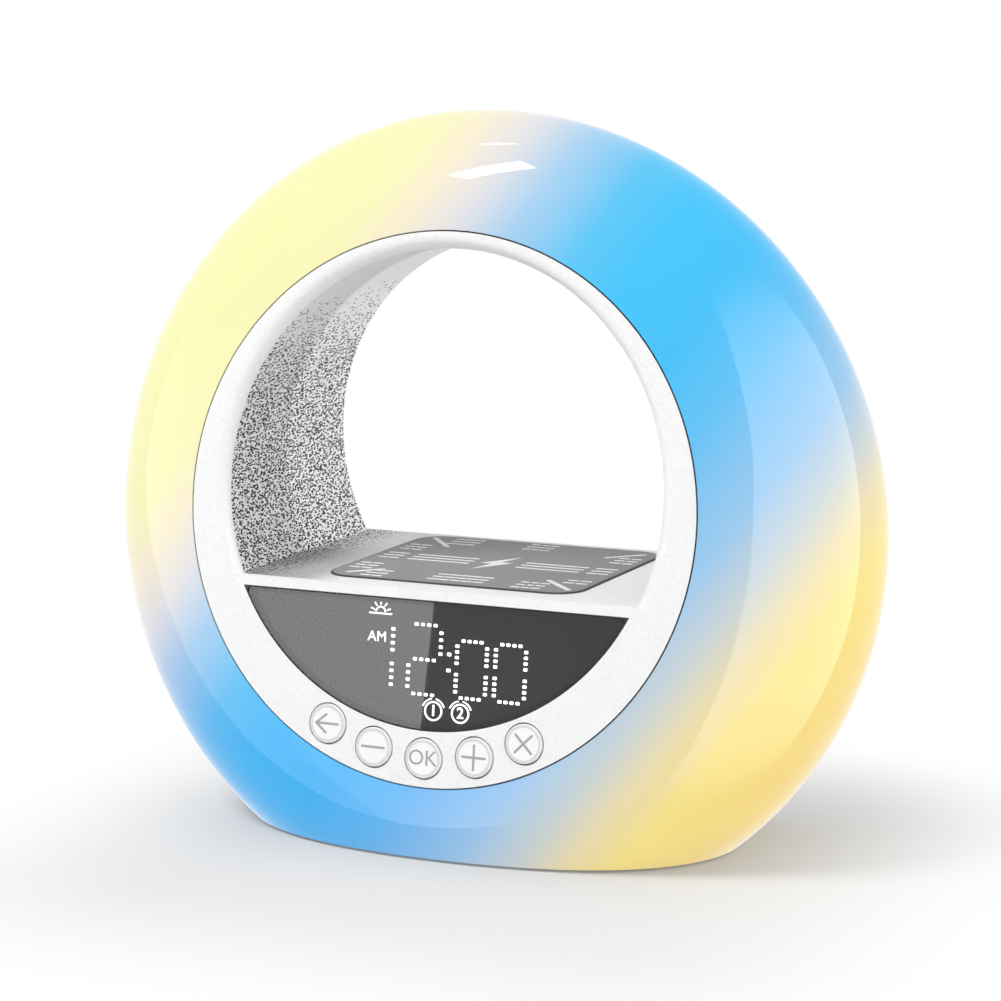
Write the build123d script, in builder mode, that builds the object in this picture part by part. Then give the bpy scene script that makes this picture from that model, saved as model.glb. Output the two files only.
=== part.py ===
from build123d import *
from math import cos, radians, sin, sqrt
import os

# Sunrise alarm clock: a milky ring lamp standing on its flat foot, with a round tunnel,
# a charging shelf, a D-shaped display and five push buttons.
# Millimetres. X to the right, Y to the back, Z up, origin in the middle of the foot on the table.

# ---- outer form ----
equator_radius = 113.0  # widest circle of the shell, on the middle plane
equator_z = 87.4  # height of that circle's centre
ring_z = 95.3  # height of the bezel's centre
half_depth = 36.6  # middle plane to the face plane, at the bezel's centre
lean = 7.5  # the front face leans back by this angle, the back face forward
seam_radius = 75.0  # opening of the shell round the bezel
crest_margin = 2.0  # the shell starts to curve this far inside its opening
form_steps = 4  # ring sections from the middle plane to each face
shell_wall = 2.6
shell_z = 0.8  # lower edge of the shell above the table
joint_turn = 41.0  # degrees from the middle plane to the joint of diffuser and rear cover
lip_wall = 1.6  # locating lip of the rear cover inside the diffuser
lip_length = 4.0
lip_root = 3.0

# ---- gaps ----
seam_gap = 0.2  # bezel edge to shell
clamp_gap = 0.6  # shell to the flange behind its edge
part_gap = 0.1  # between neighbouring fixed mouldings
fit_gap = 0.15  # pieces let into a pocket
move_gap = 0.4  # round and behind moving buttons

# ---- bezel, tunnel and shelf ----
face_wall = 2.6
flange_reach = 3.0  # how far the flange stands out past the shell's opening
flange_wall = 2.0
rim_wall = 1.5
skirt_reach = 0.8  # outside of the light wall, past the shell's opening
skirt_wall = 2.0
tunnel_radius = 64.2
tunnel_rise = 4.9  # tunnel centre above the bezel's centre
tunnel_wall = 2.4
shelf_z = 74.0
shelf_wall = 2.6
collar_depth = 9.0  # rear cover's part of the tunnel
collar_step = 0.3
lip_fillet = 3.5
back_fillet = 2.2

# ---- display ----
display_margin = 0.3  # the display's arc is this much tighter than the tunnel's
display_top = -24.7  # from the bezel's centre, along the face
display_corner = 1.2
display_ledge = 1.2
lens_wall = 1.5
lens_sink = 0.1
box_depth = 7.0
box_wall = 1.0
board_wall = 1.6
pixel_radius = 0.55
pixel_setback = 0.3
pixels_per_bar = 4
hour_height = 18.8
hour_width = 9.4
hour_v = -40.4  # middle of the hour digits
minute_height = 15.3
minute_width = 8.8
minute_v = -42.1
digit_u = (-16.4, -2.0, 12.0, 23.4)
colon_u = 5.3
colon_v = -40.6
colon_rise = 2.15
alarm_mark_u = (1.4, 9.4)
alarm_mark_v = -54.0
alarm_mark_radius = 2.6
alarm_mark_line = 0.35

# ---- buttons ----
button_radius = 5.35
button_inset = 8.2  # from the shell's opening to the middle of a button
button_pitch = 13.0  # degrees between neighbours
button_names = ("back", "minus", "ok", "plus", "close")
button_proud = 0.5
button_travel = 0.8
button_edge = 0.35
button_flange_radius = 6.1
button_flange_wall = 1.1
stem_radius = 2.0
stem_length = 2.5
switch_size = 6.0
switch_height = 2.6
plunger_radius = 1.6
plunger_height = 0.4
plunger_gap = 0.3  # left when a button is fully in
crescent_in = 6.0  # the button board's reach inwards from the circle of buttons
crescent_out = 4.6
crescent_half_angle = 45.0
crescent_post_angle = 40.0
crescent_post_radius = 2.4
crescent_screw_radius = 1.0
board_screw_length = 6.0
board_screw_head = 1.2

# ---- light ring ----
frame_reach = 19.2  # from the light wall out to the edge of the light frame
frame_overhang = 1.6  # the frame's reach inside the light wall
frame_wall = 2.0
frame_gap_half = 46.0
led_board_width = 10.0
led_board_inset = 1.0
led_size = 5.0
led_height = 1.6
led_count = 25
led_span = 288.0

# ---- case screws ----
case_screw_reach = 2.8  # from the light wall out to the screws
case_screw_angles = (90, 20, 160, -30, 210)
case_post_radius = 3.4
case_boss_radius = 4.6
case_seat_y = 12.0
case_tip_y = -12.0
case_shank_radius = 1.3
case_bore_gap = 0.2
case_head_radius = 2.5
case_head_height = 1.8
case_well_gap = 0.4
post_start = 7.0  # depth behind the face where the posts begin
weld_depth = 1.0  # how far ribs and posts run into the wall they stand on

# ---- charging pad ----
pad_width = 76.0
pad_depth = 67.0
pad_corner = 8.4
pad_wall = 1.6
pad_pocket = 1.2
pad_y = 2.0
coil_outer = 21.5
coil_inner = 10.0
coil_wall = 1.8
ferrite_size = 44.0
ferrite_wall = 1.0
tray_wall = 1.6
tray_gap_x = 2.4  # from the ferrite sheet to the tray's wall
tray_gap_y = 0.4
tray_floor = 1.6
tray_leg = 3.0
tray_leg_radius = 2.2
charger_width = 46.0
charger_depth = 40.0
tray_leg_inset = 4.0
charger_chip_size = 5.5
charger_chip_height = 1.5
charger_chip_pitch_x = 11.5
charger_chip_pitch_y = 10.0

# ---- main board ----
main_width = 68.0
main_height = 26.0
main_centre_z = 47.0
main_y = 8.0
main_post_radius = 3.0
main_post_inset = 3.0
chip_blocks = ((0, 0, 10, 10), (-18, 3, 8, 12), (18, -2, 6, 6))  # across, up, width, height
chip_height = 1.6
can_spots = ((27, 4), (27, -6))
can_radius = 3.1
can_height = 8.0

# ---- speaker, in the back face's own plane ----
speaker_v = -47.0
speaker_flange_radius = 22.0
speaker_flange_wall = 2.0
basket_radius = 20.5
basket_wall = 1.5
basket_depth = 9.0
surround_outer = 18.4
surround_width = 2.5
surround_line = 0.5
cone_gap = 0.35
cone_wall = 0.6
cone_depth = 5.0
cone_neck_radius = 5.3
cone_drop = 0.8
coil_former_wall = 0.4
coil_former_length = 4.6
magnet_radius = 13.0
magnet_depth = 6.5
magnet_slot_gap = 0.6
magnet_slot_depth = 4.6
grille_pitch = 4.1
grille_rings = 4
grille_hole_radius = 1.1

# ---- sockets, in the back face's own plane ----
socket_u = 44.0
socket_v = -40.0
inlet_collar_radius = 3.9
inlet_width = 9.0
inlet_height = 11.0
inlet_depth = 12.0
inlet_bore_radius = 2.8
inlet_bore_depth = 10.0
inlet_pin_radius = 1.0
inlet_pin_length = 8.5
usb_width = 13.2
usb_height = 5.8
usb_sheet = 0.5
usb_depth = 14.0
usb_tongue_width = 11.0
usb_tongue_wall = 1.8
usb_tongue_length = 9.0
usb_flange_margin = 2.2
usb_flange_wall = 1.0
socket_gap = 0.2
socket_sink = 0.4

# ---- base ----
base_wall = 2.5
base_post_in = 10.0  # from a foot inwards to the screw beside it
base_post_y = 18.0
base_post_radius = 3.4
base_post_root = 1.5  # how far a post runs up past the middle of the light wall
base_screw_radius = 1.1
base_screw_length = 9.0
base_head_radius = 2.3
base_head_height = 1.4
foot_radius = 6.0
foot_wall = 1.6
foot_inset_x = 22.0  # from the end of the base to the middle of a foot
foot_inset_y = 16.6  # the same, from the face's depth
cell_radius = 10.0
cell_wall = 3.2
cell_gap = 0.3
cell_y = 6.0
door_size = 27.0
door_wall = 1.2
holder_wall = 1.2

# ---- worked out once ----
crest_radius = seam_radius - crest_margin
flange_radius = seam_radius + flange_reach
rim_radius = seam_radius - seam_gap - rim_wall
skirt_radius = seam_radius + skirt_reach
display_radius = tunnel_radius - display_margin
button_circle = seam_radius - button_inset
crescent_inner = button_circle - crescent_in
crescent_outer = button_circle + crescent_out
frame_inner = skirt_radius - skirt_wall - frame_overhang
frame_outer = skirt_radius + frame_reach
led_board_outer = frame_outer - led_board_inset
led_board_inner = led_board_outer - led_board_width
case_screw_circle = skirt_radius + case_screw_reach
base_half_width = sqrt(equator_radius**2 - (equator_z - shell_z) ** 2)
foot_x = base_half_width - foot_inset_x
foot_y = half_depth - foot_inset_y
base_post_x = foot_x - base_post_in
base_post_top = ring_z - sqrt((skirt_radius - skirt_wall / 2) ** 2 - base_post_x**2) + base_post_root
tray_width = ferrite_size + 2 * (tray_gap_x + tray_wall)
tray_depth = ferrite_size + 2 * (tray_gap_y + tray_wall)
tunnel_z = ring_z + tunnel_rise
base_top = shell_z + base_wall
clamp_depth = shell_wall + clamp_gap
board_depth = face_wall + box_depth
shelf_low = shelf_z - shelf_wall
switch_depth = face_wall + move_gap + button_flange_wall + stem_length + button_travel + plunger_gap
switch_seat = switch_depth + plunger_height + switch_height
main_mid = main_centre_z - ring_z
far = 3 * equator_radius

tilt_in = radians(lean)
front_plane = Plane(
    origin=(0, -half_depth, ring_z),
    x_dir=(1, 0, 0),
    z_dir=(0, -cos(tilt_in), sin(tilt_in)),
)
rear_plane = Plane(
    origin=(0, half_depth, ring_z),
    x_dir=(-1, 0, 0),
    z_dir=(0, cos(tilt_in), sin(tilt_in)),
)
mid_plane = Plane(origin=(0, 0, ring_z), x_dir=(1, 0, 0), z_dir=(0, -1, 0))
shell_plane = Plane.XY.offset(shell_z)
lining_plane = rear_plane.offset(-shell_wall)  # inside of the rear wall
bottom = -90  # direction of the middle button from the bezel's centre


def section_plane(turn, inset):
    """The plane of one ring section: turn is -90 at the front face, 0 in the middle, 90 at the back."""
    angle = radians(turn)
    tilt = -tilt_in * sin(angle)
    drop = (equator_z - ring_z) * cos(angle)
    reach = (half_depth - inset) * sin(angle)
    centre = (0, reach + drop * sin(tilt), ring_z + drop * cos(tilt))
    return Plane(origin=centre, x_dir=(-1, 0, 0), z_dir=(0, cos(tilt), -sin(tilt)))


def form(inset):
    """The outer form, moved in by inset: circles from face to face, upright in the middle."""
    with BuildPart() as shape:
        for step in range(-form_steps, form_steps + 1):
            turn = 90 * step / form_steps
            growth = equator_radius - inset - crest_radius
            with BuildSketch(section_plane(turn, inset)):
                Circle(crest_radius + growth * cos(radians(turn)))
        loft()
    return shape.part


def arch(grow, floor):
    """The tunnel's D-shaped section as a long bar, grown outwards by grow, with its floor at a height."""
    with BuildPart() as bar:
        with BuildSketch(mid_plane):
            with Locations((0, tunnel_rise)):
                Circle(tunnel_radius + grow)
            with Locations((0, floor - ring_z - far)):
                Rectangle(2 * far, 2 * far, mode=Mode.SUBTRACT)
        extrude(amount=2 * half_depth, both=True)
    return bar.part


def display_outline(grow):
    """The display's D shape in the face's own plane, grown outwards by grow."""
    with BuildSketch() as outline:
        with Locations((0, tunnel_rise)):
            Circle(display_radius + grow)
        with Locations((0, display_top + grow + far)):
            Rectangle(2 * far, 2 * far, mode=Mode.SUBTRACT)
        fillet(outline.vertices(), display_corner)
    return outline.sketch


def around(radius, angle):
    """A point on a circle about the bezel's centre, in a face's own plane."""
    return (radius * cos(radians(angle)), radius * sin(radians(angle)))


def ring_tube(outer, wall, y_from, y_to):
    """A round wall about the bezel's axis, level, between two depths."""
    with BuildPart() as tube:
        with BuildSketch(mid_plane.offset(-y_to)):
            Circle(outer)
            Circle(outer - wall, mode=Mode.SUBTRACT)
        extrude(amount=y_to - y_from)
    return tube.part


joint_plane = section_plane(joint_turn, 0)
outer_form = form(0)
inner_form = form(shell_wall)
tunnel_space = arch(0, shelf_z)
button_angles = [bottom + button_pitch * step for step in (-2, -1, 0, 1, 2)]
button_spots = [around(button_circle, angle) for angle in button_angles]
case_spots = [around(case_screw_circle, angle) for angle in case_screw_angles]
post_spots = [around(button_circle, bottom + side * crescent_post_angle) for side in (-1, 1)]

# ================= shell =================

with BuildPart() as diffuser:
    add(outer_form)
    split(bisect_by=shell_plane, keep=Keep.TOP)
    split(bisect_by=joint_plane, keep=Keep.BOTTOM)
    add(inner_form, mode=Mode.SUBTRACT)
    with BuildSketch(front_plane):
        Circle(seam_radius)
    extrude(amount=shell_wall + crest_margin, both=True, mode=Mode.SUBTRACT)

# ================= front bezel with tunnel and shelf =================

with BuildPart() as sleeve:
    add(arch(tunnel_wall, shelf_low))
    split(bisect_by=front_plane.offset(weld_depth - face_wall), keep=Keep.BOTTOM)
    split(bisect_by=rear_plane.offset(-collar_depth - part_gap), keep=Keep.BOTTOM)

with BuildPart() as shelf:
    add(arch(tunnel_wall, shelf_low))
    split(bisect_by=Plane.XY.offset(shelf_z), keep=Keep.BOTTOM)
    split(bisect_by=front_plane.offset(weld_depth - face_wall), keep=Keep.BOTTOM)
    split(bisect_by=rear_plane.offset(-shell_wall - part_gap), keep=Keep.BOTTOM)

with BuildPart() as case_posts:
    with BuildSketch(mid_plane.offset(frame_wall / 2)):
        with Locations(case_spots):
            Circle(case_post_radius)
    extrude(amount=half_depth)
    split(bisect_by=front_plane.offset(-post_start), keep=Keep.BOTTOM)

with BuildPart() as front_works:
    add(ring_tube(skirt_radius, skirt_wall, -2 * half_depth, -frame_wall / 2))
    with BuildSketch(Plane.XY.offset(base_top)):
        with Locations((-base_post_x, -base_post_y), (base_post_x, -base_post_y)):
            Circle(base_post_radius)
    extrude(amount=base_post_top - base_top)
    split(bisect_by=front_plane.offset(-clamp_depth), keep=Keep.BOTTOM)

with BuildPart() as front_bezel:
    with BuildSketch(front_plane):
        Circle(seam_radius - seam_gap)
    extrude(amount=-face_wall)
    with BuildSketch(front_plane):
        Circle(seam_radius - seam_gap)
        Circle(rim_radius, mode=Mode.SUBTRACT)
    extrude(amount=-clamp_depth - flange_wall)
    with BuildSketch(front_plane.offset(-clamp_depth)):
        Circle(flange_radius)
        Circle(rim_radius, mode=Mode.SUBTRACT)
    extrude(amount=-flange_wall)
    add(front_works.part)
    add(case_posts.part)
    add(sleeve.part)
    add(shelf.part)
    with BuildSketch(front_plane.offset(-face_wall)):
        with Locations(post_spots):
            Circle(crescent_post_radius)
    extrude(amount=face_wall - switch_seat)
    add(tunnel_space, mode=Mode.SUBTRACT)
    mouth = front_bezel.edges().filter_by(
        lambda edge: abs(front_plane.to_local_coords(edge.center()).Z) < 0.01
        and edge.length > 2 * tunnel_radius
        and edge.bounding_box().max.Z < tunnel_z + tunnel_radius + 1
        and edge.bounding_box().min.Z > shelf_z - 1
    )
    fillet(mouth, lip_fillet)
    with BuildSketch(front_plane):
        add(display_outline(fit_gap))
    extrude(amount=-lens_wall - lens_sink, mode=Mode.SUBTRACT)
    with BuildSketch(front_plane):
        add(display_outline(-display_ledge))
    extrude(amount=-face_wall, mode=Mode.SUBTRACT)
    with BuildSketch(front_plane):
        with Locations(button_spots):
            Circle(button_radius + move_gap)
    extrude(amount=-face_wall, mode=Mode.SUBTRACT)
    with BuildSketch(Plane.XY.offset(shelf_z)):
        with Locations((0, pad_y)):
            RectangleRounded(pad_width + 2 * fit_gap, pad_depth + 2 * fit_gap, pad_corner + fit_gap)
    extrude(amount=-pad_pocket, mode=Mode.SUBTRACT)
    with BuildSketch(front_plane.offset(-switch_seat)):
        with Locations(post_spots):
            Circle(crescent_screw_radius)
    extrude(amount=board_screw_length - board_wall, mode=Mode.SUBTRACT)
    with BuildSketch(mid_plane.offset(frame_wall / 2)):
        with Locations(case_spots):
            Circle(case_shank_radius)
    extrude(amount=-case_tip_y - frame_wall / 2, mode=Mode.SUBTRACT)
    with BuildSketch(Plane.XY.offset(base_top)):
        with Locations((-base_post_x, -base_post_y), (base_post_x, -base_post_y)):
            Circle(base_screw_radius)
    extrude(amount=base_screw_length - base_wall + base_head_height, mode=Mode.SUBTRACT)

# ================= rear cover =================

with BuildPart() as rear_works:
    add(ring_tube(skirt_radius, skirt_wall, frame_wall / 2, 2 * half_depth))
    with BuildSketch(mid_plane.offset(-frame_wall / 2)):
        with Locations(case_spots):
            Circle(case_boss_radius)
    extrude(amount=-half_depth - frame_wall)
    with BuildSketch(mid_plane.offset(-main_y - board_wall)):
        with Locations((0, main_mid)):
            with GridLocations(main_width - 2 * main_post_inset, main_height - 2 * main_post_inset, 2, 2):
                Circle(main_post_radius)
    extrude(amount=-2 * half_depth)
    with BuildSketch(Plane.XY.offset(base_top)):
        with Locations((-base_post_x, base_post_y), (base_post_x, base_post_y)):
            Circle(base_post_radius)
    extrude(amount=base_post_top - base_top)
    split(bisect_by=rear_plane.offset(weld_depth - shell_wall), keep=Keep.BOTTOM)

with BuildPart() as collar:
    add(arch(tunnel_wall, shelf_z))
    split(bisect_by=rear_plane.offset(-collar_depth), keep=Keep.TOP)
    split(bisect_by=rear_plane.offset(weld_depth - shell_wall), keep=Keep.BOTTOM)

with BuildPart() as locating_lip:
    add(form(shell_wall + fit_gap))
    split(bisect_by=shell_plane.offset(base_wall + lip_root), keep=Keep.TOP)
    split(bisect_by=joint_plane.offset(-lip_length), keep=Keep.TOP)
    split(bisect_by=joint_plane.offset(lip_root), keep=Keep.BOTTOM)
    add(form(shell_wall + fit_gap + lip_wall), mode=Mode.SUBTRACT)

with BuildPart() as lip_foot:
    add(form(shell_wall / 2))
    split(bisect_by=shell_plane.offset(base_wall + lip_root), keep=Keep.TOP)
    split(bisect_by=joint_plane, keep=Keep.TOP)
    split(bisect_by=joint_plane.offset(lip_root), keep=Keep.BOTTOM)
    add(form(shell_wall + fit_gap + lip_wall), mode=Mode.SUBTRACT)

with BuildPart() as rear_cover:
    add(outer_form)
    split(bisect_by=shell_plane, keep=Keep.TOP)
    split(bisect_by=joint_plane, keep=Keep.TOP)
    add(inner_form, mode=Mode.SUBTRACT)
    add(lip_foot.part)
    add(locating_lip.part)
    add(rear_works.part)
    add(collar.part)
    add(arch(collar_step, shelf_z), mode=Mode.SUBTRACT)
    back_mouth = rear_cover.edges().filter_by(
        lambda edge: abs(rear_plane.to_local_coords(edge.center()).Z) < 0.01
        and edge.length > 2 * tunnel_radius
        and edge.bounding_box().min.Z > shelf_z - 1
        and edge.bounding_box().max.Z < tunnel_z + tunnel_radius + 1
    )
    fillet(back_mouth, back_fillet)
    with BuildSketch(mid_plane.offset(-frame_wall / 2)):
        with Locations(case_spots):
            Circle(case_shank_radius + case_bore_gap)
    extrude(amount=-case_seat_y, mode=Mode.SUBTRACT)
    with BuildSketch(mid_plane.offset(-case_seat_y)):
        with Locations(case_spots):
            Circle(case_head_radius + case_well_gap)
    extrude(amount=-2 * half_depth, mode=Mode.SUBTRACT)
    with BuildSketch(rear_plane):
        with Locations((0, speaker_v)):
            Circle(grille_hole_radius)
            for ring in range(1, grille_rings + 1):
                with PolarLocations(ring * grille_pitch, 6 * ring):
                    Circle(grille_hole_radius)
        with Locations((-socket_u, socket_v)):
            Circle(inlet_collar_radius + socket_gap)
        with Locations((socket_u, socket_v)):
            Rectangle(usb_width + 2 * socket_gap, usb_height + 2 * socket_gap)
    extrude(amount=-shell_wall, mode=Mode.SUBTRACT)
    with BuildSketch(Plane.XY.offset(base_top)):
        with Locations((-base_post_x, base_post_y), (base_post_x, base_post_y)):
            Circle(base_screw_radius)
    extrude(amount=base_screw_length - base_wall + base_head_height, mode=Mode.SUBTRACT)

# ================= display =================

with BuildPart() as display_window:
    with BuildSketch(front_plane.offset(-lens_sink)):
        add(display_outline(0))
    extrude(amount=-lens_wall)

with BuildPart() as light_box:
    with BuildSketch(front_plane.offset(-face_wall)):
        add(display_outline(0))
        add(display_outline(-box_wall), mode=Mode.SUBTRACT)
    extrude(amount=-box_depth)

with BuildPart() as display_board:
    with BuildSketch(front_plane.offset(-board_depth)):
        add(display_outline(0))
    extrude(amount=-board_wall)


def bar_points(width, height, start, end):
    """Evenly spaced pixel places along one bar of a digit, clear of its corners."""
    steps = [(index + 1) / (pixels_per_bar + 1) for index in range(pixels_per_bar)]
    return [
        (
            width / 2 * (start[0] + (end[0] - start[0]) * step),
            height / 2 * (start[1] + (end[1] - start[1]) * step),
        )
        for step in steps
    ]


digit_bars = (
    ((-1, 1), (1, 1)),
    ((-1, 0), (1, 0)),
    ((-1, -1), (1, -1)),
    ((-1, 0), (-1, 1)),
    ((1, 0), (1, 1)),
    ((-1, -1), (-1, 0)),
    ((1, -1), (1, 0)),
)
hour_digit = (hour_width, hour_height, hour_v)
minute_digit = (minute_width, minute_height, minute_v)
digits = zip(digit_u, (hour_digit, hour_digit, minute_digit, minute_digit))

with BuildPart() as display_pixels:
    with BuildSketch(front_plane.offset(-board_depth)):
        for place, (width, height, middle) in digits:
            for start, end in digit_bars:
                for across, up in bar_points(width, height, start, end):
                    with Locations((place + across, middle + up)):
                        Circle(pixel_radius)
        for side in (-1, 1):
            with Locations((colon_u, colon_v + side * colon_rise)):
                Circle(pixel_radius)
        for place in alarm_mark_u:
            with Locations((place, alarm_mark_v)):
                Circle(alarm_mark_radius)
                Circle(alarm_mark_radius - alarm_mark_line, mode=Mode.SUBTRACT)
    extrude(amount=board_depth - lens_wall - lens_sink - pixel_setback)

# ================= buttons =================

buttons = {}
for name, (across, up) in zip(button_names, button_spots):
    with BuildPart() as button:
        with BuildSketch(front_plane.offset(button_proud)):
            with Locations((across, up)):
                Circle(button_radius)
        extrude(amount=-button_proud - face_wall - move_gap - button_flange_wall)
        cap = button.faces().sort_by(Axis(origin=(0, 0, 0), direction=front_plane.z_dir))[-1]
        chamfer(cap.edges(), button_edge)
        with BuildSketch(front_plane.offset(-face_wall - move_gap)):
            with Locations((across, up)):
                Circle(button_flange_radius)
        extrude(amount=-button_flange_wall)
        with BuildSketch(front_plane.offset(-face_wall - move_gap - button_flange_wall)):
            with Locations((across, up)):
                Circle(stem_radius)
        extrude(amount=-stem_length)
    buttons[name] = button

with BuildPart() as tact_switches:
    with BuildSketch(front_plane.offset(-switch_seat)):
        with Locations(button_spots):
            Rectangle(switch_size, switch_size)
    extrude(amount=switch_height)
    with BuildSketch(front_plane.offset(-switch_seat + switch_height)):
        with Locations(button_spots):
            Circle(plunger_radius)
    extrude(amount=plunger_height)

with BuildPart() as button_board:
    with BuildSketch(front_plane.offset(-switch_seat)):
        Circle(crescent_outer)
        Circle(crescent_inner, mode=Mode.SUBTRACT)
        with BuildLine():
            left = around(far, bottom - crescent_half_angle)
            right = around(far, bottom + crescent_half_angle)
            Polyline((0, 0), left, right, (0, 0))
        make_face(mode=Mode.INTERSECT)
        with Locations(post_spots):
            Circle(crescent_screw_radius, mode=Mode.SUBTRACT)
    extrude(amount=-board_wall)

# ================= light ring =================

with BuildPart() as light_frame:
    with BuildSketch(mid_plane.offset(-frame_wall / 2)):
        Circle(frame_outer)
        Circle(frame_inner, mode=Mode.SUBTRACT)
        with Locations((0, -far)):
            Rectangle(2 * frame_gap_half, 2 * far, mode=Mode.SUBTRACT)
        with Locations(case_spots):
            Circle(case_shank_radius + case_bore_gap, mode=Mode.SUBTRACT)
    extrude(amount=frame_wall)

with BuildPart() as led_board:
    with BuildSketch(mid_plane.offset(frame_wall / 2)):
        Circle(led_board_outer)
        Circle(led_board_inner, mode=Mode.SUBTRACT)
        with Locations((0, -far)):
            Rectangle(2 * frame_gap_half, 2 * far, mode=Mode.SUBTRACT)
    extrude(amount=board_wall)

led_circle = (led_board_inner + led_board_outer) / 2
led_step = led_span / (led_count - 1)
with BuildPart() as leds:
    with BuildSketch(mid_plane.offset(frame_wall / 2 + board_wall)):
        for index in range(led_count):
            angle = 90 - led_span / 2 + led_step * index
            with Locations(Location((*around(led_circle, angle), 0), (0, 0, angle))):
                Rectangle(led_size, led_size)
    extrude(amount=led_height)

# ================= charging pad =================

with BuildPart() as charging_pad:
    with BuildSketch(Plane.XY.offset(shelf_z - pad_pocket)):
        with Locations((0, pad_y)):
            RectangleRounded(pad_width, pad_depth, pad_corner)
    extrude(amount=pad_wall)
    fillet(charging_pad.faces().sort_by(Axis.Z)[-1].edges(), pad_wall / 4)

with BuildPart() as charge_coil:
    with BuildSketch(Plane.XY.offset(shelf_low)):
        with Locations((0, pad_y)):
            Circle(coil_outer)
            Circle(coil_inner, mode=Mode.SUBTRACT)
    extrude(amount=-coil_wall)

with BuildPart() as coil_ferrite:
    with BuildSketch(Plane.XY.offset(shelf_low - coil_wall)):
        with Locations((0, pad_y)):
            Rectangle(ferrite_size, ferrite_size)
    extrude(amount=-ferrite_wall)

tray_deck = shelf_low - coil_wall - ferrite_wall
tray_leg_pitch_x = charger_width - 2 * tray_leg_inset
tray_leg_pitch_y = charger_depth - 2 * tray_leg_inset
with BuildPart() as coil_tray:
    with BuildSketch(Plane.XY.offset(tray_deck)):
        with Locations((0, pad_y)):
            Rectangle(tray_width, tray_depth)
    extrude(amount=-tray_floor)
    with BuildSketch(Plane.XY.offset(tray_deck)):
        with Locations((0, pad_y)):
            Rectangle(tray_width, tray_depth)
            Rectangle(tray_width - 2 * tray_wall, tray_depth - 2 * tray_wall, mode=Mode.SUBTRACT)
    extrude(amount=coil_wall + ferrite_wall)
    with BuildSketch(Plane.XY.offset(tray_deck - tray_floor)):
        with Locations((0, pad_y)):
            with GridLocations(tray_leg_pitch_x, tray_leg_pitch_y, 2, 2):
                Circle(tray_leg_radius)
    extrude(amount=-tray_leg)

charger_top = tray_deck - tray_floor - tray_leg
with BuildPart() as charger_board:
    with BuildSketch(Plane.XY.offset(charger_top)):
        with Locations((0, pad_y)):
            Rectangle(charger_width, charger_depth)
    extrude(amount=-board_wall)
    with BuildSketch(Plane.XY.offset(charger_top)):
        with Locations((0, pad_y)):
            with GridLocations(charger_chip_pitch_x, charger_chip_pitch_y, 2, 2):
                Rectangle(charger_chip_size, charger_chip_size)
    extrude(amount=charger_chip_height)

# ================= main board =================

with BuildPart() as main_board:
    with BuildSketch(mid_plane.offset(-main_y - board_wall)):
        with Locations((0, main_mid)):
            Rectangle(main_width, main_height)
    extrude(amount=board_wall)

with BuildPart() as main_chips:
    with BuildSketch(mid_plane.offset(-main_y)):
        for across, up, width, height in chip_blocks:
            with Locations((across, main_mid + up)):
                Rectangle(width, height)
    extrude(amount=chip_height)
    with BuildSketch(mid_plane.offset(-main_y)):
        with Locations([(across, main_mid + up) for across, up in can_spots]):
            Circle(can_radius)
    extrude(amount=can_height)

# ================= speaker =================

cone_radius = surround_outer - surround_width - cone_gap

with BuildPart() as speaker_frame:
    with BuildSketch(lining_plane):
        with Locations((0, speaker_v)):
            Circle(speaker_flange_radius)
            Circle(surround_outer, mode=Mode.SUBTRACT)
    extrude(amount=-speaker_flange_wall)
    with BuildSketch(lining_plane.offset(-speaker_flange_wall)):
        with Locations((0, speaker_v)):
            Circle(basket_radius)
            Circle(basket_radius - basket_wall, mode=Mode.SUBTRACT)
    extrude(amount=-basket_depth)
    with BuildSketch(lining_plane.offset(-speaker_flange_wall - basket_depth)):
        with Locations((0, speaker_v)):
            Circle(basket_radius)
            Circle(cone_neck_radius + magnet_slot_gap, mode=Mode.SUBTRACT)
    extrude(amount=basket_wall)

magnet_front = speaker_flange_wall + basket_depth
with BuildPart() as speaker_magnet:
    with BuildSketch(lining_plane.offset(-magnet_front)):
        with Locations((0, speaker_v)):
            Circle(magnet_radius)
    extrude(amount=-magnet_depth)
    with BuildSketch(lining_plane.offset(-magnet_front)):
        with Locations((0, speaker_v)):
            Circle(cone_neck_radius + magnet_slot_gap)
            Circle(cone_neck_radius - coil_former_wall - magnet_slot_gap, mode=Mode.SUBTRACT)
    extrude(amount=-magnet_slot_depth, mode=Mode.SUBTRACT)

with BuildPart() as speaker_surround:
    with BuildSketch(lining_plane.offset(-speaker_flange_wall)):
        with Locations((0, speaker_v)):
            Circle(surround_outer)
            Circle(surround_outer - surround_width, mode=Mode.SUBTRACT)
    extrude(amount=surround_line)

with BuildPart() as speaker_cone:
    with BuildSketch(lining_plane.offset(-speaker_flange_wall - cone_drop)):
        with Locations((0, speaker_v)):
            Circle(cone_radius)
    with BuildSketch(lining_plane.offset(-speaker_flange_wall - cone_drop - cone_depth)):
        with Locations((0, speaker_v)):
            Circle(cone_neck_radius)
    loft()
    with BuildSketch(lining_plane.offset(-speaker_flange_wall - cone_drop)):
        with Locations((0, speaker_v)):
            Circle(cone_radius - cone_wall)
    with BuildSketch(lining_plane.offset(-speaker_flange_wall - cone_drop - cone_depth + cone_wall)):
        with Locations((0, speaker_v)):
            Circle(cone_neck_radius - cone_wall)
    loft(mode=Mode.SUBTRACT)
    with BuildSketch(lining_plane.offset(-speaker_flange_wall - cone_drop - cone_depth)):
        with Locations((0, speaker_v)):
            Circle(cone_neck_radius)
            Circle(cone_neck_radius - coil_former_wall, mode=Mode.SUBTRACT)
    extrude(amount=-coil_former_length)

# ================= sockets =================

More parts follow.
